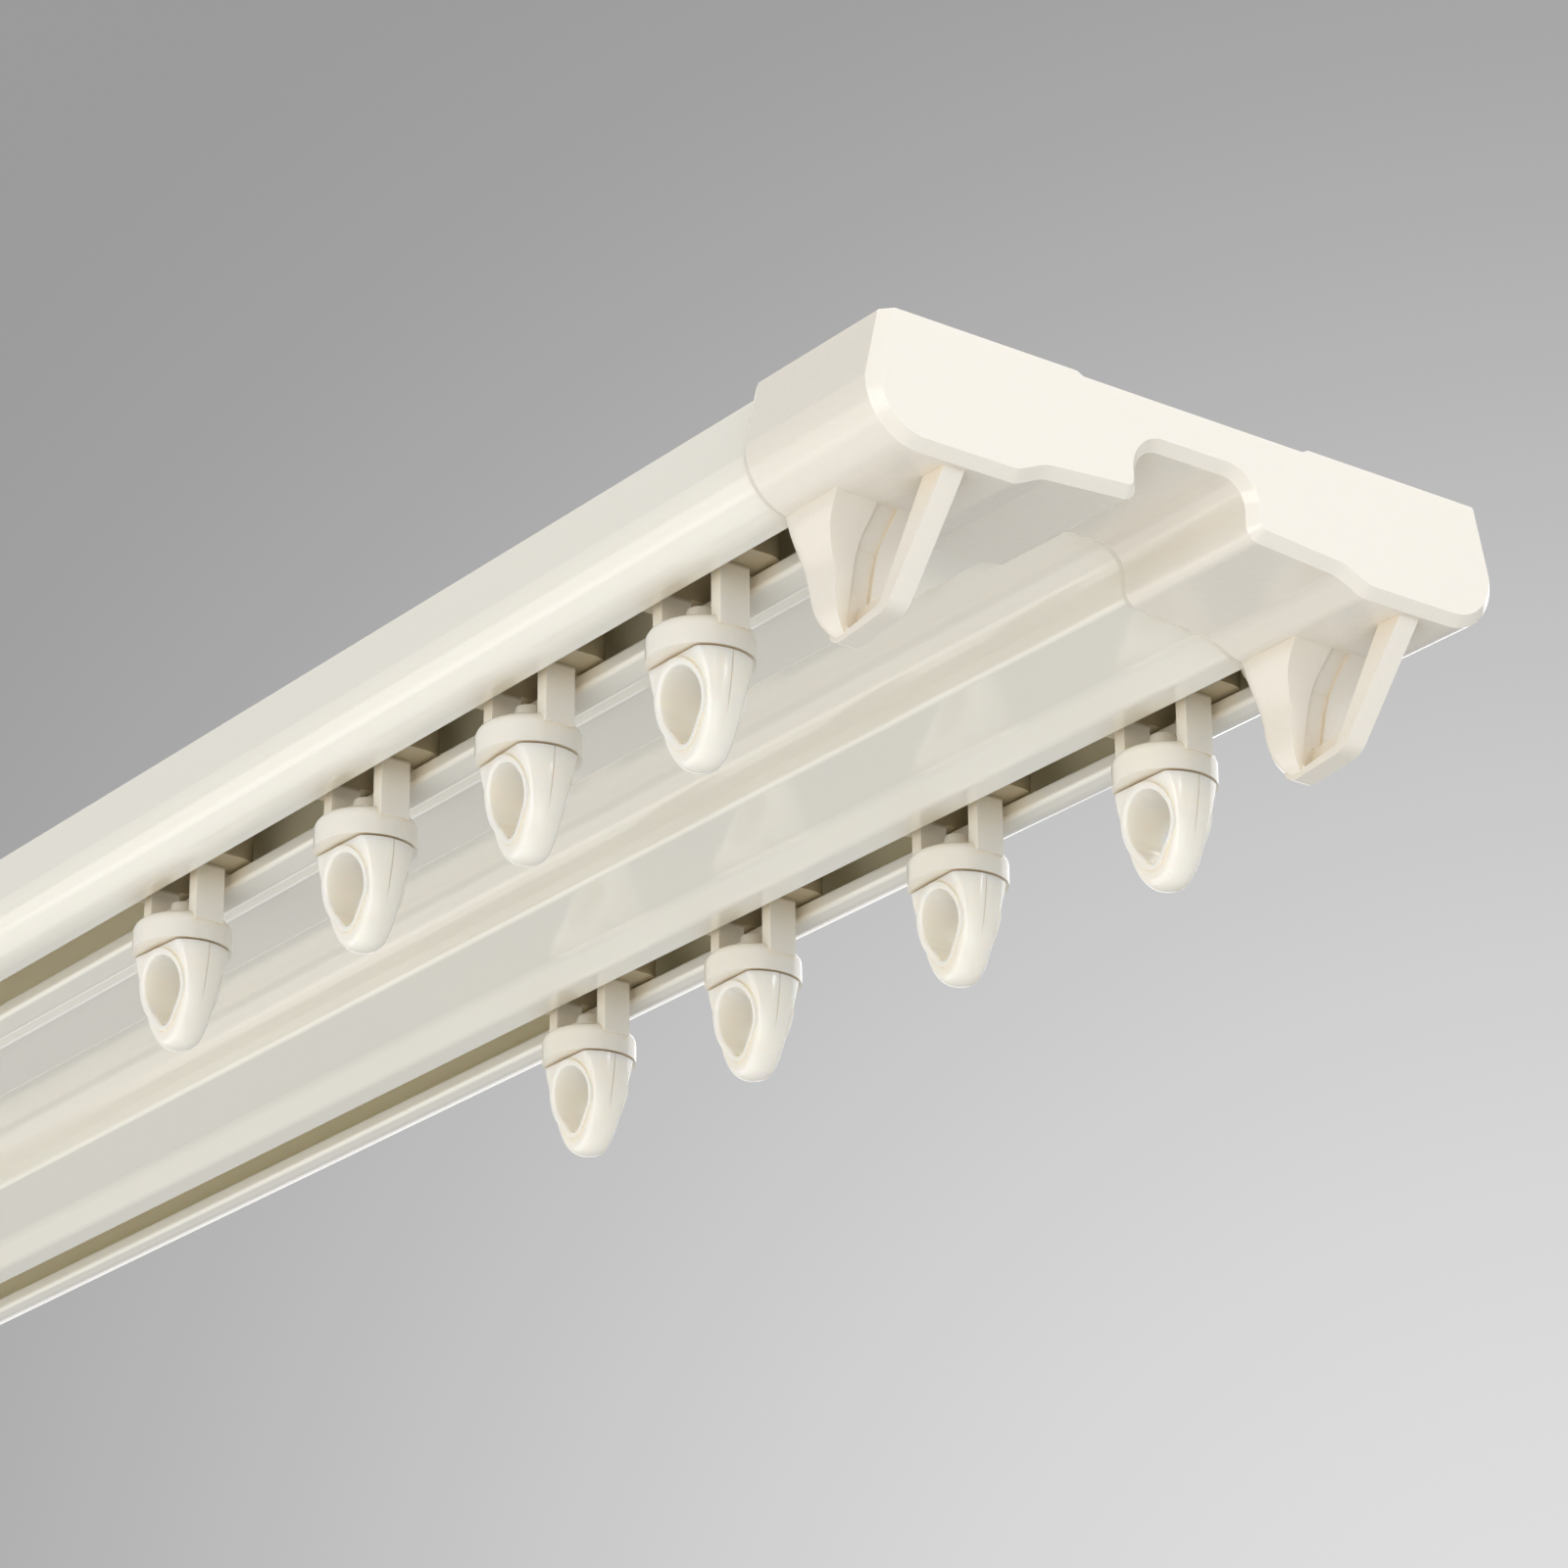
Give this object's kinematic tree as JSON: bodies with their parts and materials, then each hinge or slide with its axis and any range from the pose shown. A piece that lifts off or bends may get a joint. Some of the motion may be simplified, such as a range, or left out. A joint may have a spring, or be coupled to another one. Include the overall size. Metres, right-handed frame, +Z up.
{
  "type": "double curtain track",
  "caption": "Ceiling curtain rail with two bottom-slotted tracks, hooked end caps, sliding runners and swivelling curtain eyes.",
  "frame": {"origin": "middle of the rail's length, halfway between the two tracks, level with the tops of the rail's two channels", "axes": "+X along the rail to the end cap that the picture shows, +Y to the rear track, +Z up to the ceiling"},
  "size_m": [0.604, 0.0716, 0.0277],
  "materials": {
    "rail": "cream, glossy extruded",
    "cap": "cream, satin moulded",
    "runner": "cream, glossy moulded",
    "eye": "warm white, glossy moulded"
  },
  "bodies": {
    "track": {"rail": "rail", "end_cap_right": "cap", "end_cap_left": "cap"},
    "front_runner_1": {"front_runner_1": "runner"},
    "front_eye_1": {"front_eye_1": "eye"},
    "front_runner_2": {"front_runner_2": "runner"},
    "front_eye_2": {"front_eye_2": "eye"},
    "front_runner_3": {"front_runner_3": "runner"},
    "front_eye_3": {"front_eye_3": "eye"},
    "front_runner_4": {"front_runner_4": "runner"},
    "front_eye_4": {"front_eye_4": "eye"},
    "front_runner_5": {"front_runner_5": "runner"},
    "front_eye_5": {"front_eye_5": "eye"},
    "front_runner_6": {"front_runner_6": "runner"},
    "front_eye_6": {"front_eye_6": "eye"},
    "rear_runner_1": {"rear_runner_1": "runner"},
    "rear_eye_1": {"rear_eye_1": "eye"},
    "rear_runner_2": {"rear_runner_2": "runner"},
    "rear_eye_2": {"rear_eye_2": "eye"},
    "rear_runner_3": {"rear_runner_3": "runner"},
    "rear_eye_3": {"rear_eye_3": "eye"},
    "rear_runner_4": {"rear_runner_4": "runner"},
    "rear_eye_4": {"rear_eye_4": "eye"},
    "rear_runner_5": {"rear_runner_5": "runner"},
    "rear_eye_5": {"rear_eye_5": "eye"},
    "rear_runner_6": {"rear_runner_6": "runner"},
    "rear_eye_6": {"rear_eye_6": "eye"}
  },
  "joints": [
    {"name": "front_runner_1_slide", "type": "slide", "parent": "track", "child": "front_runner_1", "axis": [1, 0, 0], "range_m": [-0.01, 0.0096]},
    {"name": "front_eye_1_swivel", "type": "hinge", "parent": "front_runner_1", "child": "front_eye_1", "pos_m": [0.2644, -0.026, -0.0171], "axis": [0, 0, 1], "continuous": true},
    {"name": "front_runner_2_slide", "type": "slide", "parent": "track", "child": "front_runner_2", "axis": [1, 0, 0], "range_m": [-0.0106, 0.01]},
    {"name": "front_eye_2_swivel", "type": "hinge", "parent": "front_runner_2", "child": "front_eye_2", "pos_m": [0.2374, -0.026, -0.0171], "axis": [0, 0, 1], "continuous": true},
    {"name": "front_runner_3_slide", "type": "slide", "parent": "track", "child": "front_runner_3", "axis": [1, 0, 0], "range_m": [-0.0168, 0.0106]},
    {"name": "front_eye_3_swivel", "type": "hinge", "parent": "front_runner_3", "child": "front_eye_3", "pos_m": [0.2098, -0.026, -0.0171], "axis": [0, 0, 1], "continuous": true},
    {"name": "front_runner_4_slide", "type": "slide", "parent": "track", "child": "front_runner_4", "axis": [1, 0, 0], "range_m": [-0.3964, 0.0168]},
    {"name": "front_eye_4_swivel", "type": "hinge", "parent": "front_runner_4", "child": "front_eye_4", "pos_m": [0.176, -0.026, -0.0171], "axis": [0, 0, 1], "continuous": true},
    {"name": "front_runner_5_slide", "type": "slide", "parent": "track", "child": "front_runner_5", "axis": [1, 0, 0], "range_m": [-0.01, 0.3964]},
    {"name": "front_eye_5_swivel", "type": "hinge", "parent": "front_runner_5", "child": "front_eye_5", "pos_m": [-0.2374, -0.026, -0.0171], "axis": [0, 0, 1], "continuous": true},
    {"name": "front_runner_6_slide", "type": "slide", "parent": "track", "child": "front_runner_6", "axis": [1, 0, 0], "range_m": [-0.0096, 0.01]},
    {"name": "front_eye_6_swivel", "type": "hinge", "parent": "front_runner_6", "child": "front_eye_6", "pos_m": [-0.2644, -0.026, -0.0171], "axis": [0, 0, 1], "continuous": true},
    {"name": "rear_runner_1_slide", "type": "slide", "parent": "track", "child": "rear_runner_1", "axis": [1, 0, 0], "range_m": [-0.014, 0.0072]},
    {"name": "rear_eye_1_swivel", "type": "hinge", "parent": "rear_runner_1", "child": "rear_eye_1", "pos_m": [0.2668, 0.026, -0.0171], "axis": [0, 0, 1], "continuous": true},
    {"name": "rear_runner_2_slide", "type": "slide", "parent": "track", "child": "rear_runner_2", "axis": [1, 0, 0], "range_m": [-0.0166, 0.014]},
    {"name": "rear_eye_2_swivel", "type": "hinge", "parent": "rear_runner_2", "child": "rear_eye_2", "pos_m": [0.2358, 0.026, -0.0171], "axis": [0, 0, 1], "continuous": true},
    {"name": "rear_runner_3_slide", "type": "slide", "parent": "track", "child": "rear_runner_3", "axis": [1, 0, 0], "range_m": [-0.0122, 0.0166]},
    {"name": "rear_eye_3_swivel", "type": "hinge", "parent": "rear_runner_3", "child": "rear_eye_3", "pos_m": [0.2022, 0.026, -0.0171], "axis": [0, 0, 1], "continuous": true},
    {"name": "rear_runner_4_slide", "type": "slide", "parent": "track", "child": "rear_runner_4", "axis": [1, 0, 0], "range_m": [-0.3934, 0.0122]},
    {"name": "rear_eye_4_swivel", "type": "hinge", "parent": "rear_runner_4", "child": "rear_eye_4", "pos_m": [0.173, 0.026, -0.0171], "axis": [0, 0, 1], "continuous": true},
    {"name": "rear_runner_5_slide", "type": "slide", "parent": "track", "child": "rear_runner_5", "axis": [1, 0, 0], "range_m": [-0.01, 0.3934]},
    {"name": "rear_eye_5_swivel", "type": "hinge", "parent": "rear_runner_5", "child": "rear_eye_5", "pos_m": [-0.2374, 0.026, -0.0171], "axis": [0, 0, 1], "continuous": true},
    {"name": "rear_runner_6_slide", "type": "slide", "parent": "track", "child": "rear_runner_6", "axis": [1, 0, 0], "range_m": [-0.0096, 0.01]},
    {"name": "rear_eye_6_swivel", "type": "hinge", "parent": "rear_runner_6", "child": "rear_eye_6", "pos_m": [-0.2644, 0.026, -0.0171], "axis": [0, 0, 1], "continuous": true}
  ]
}
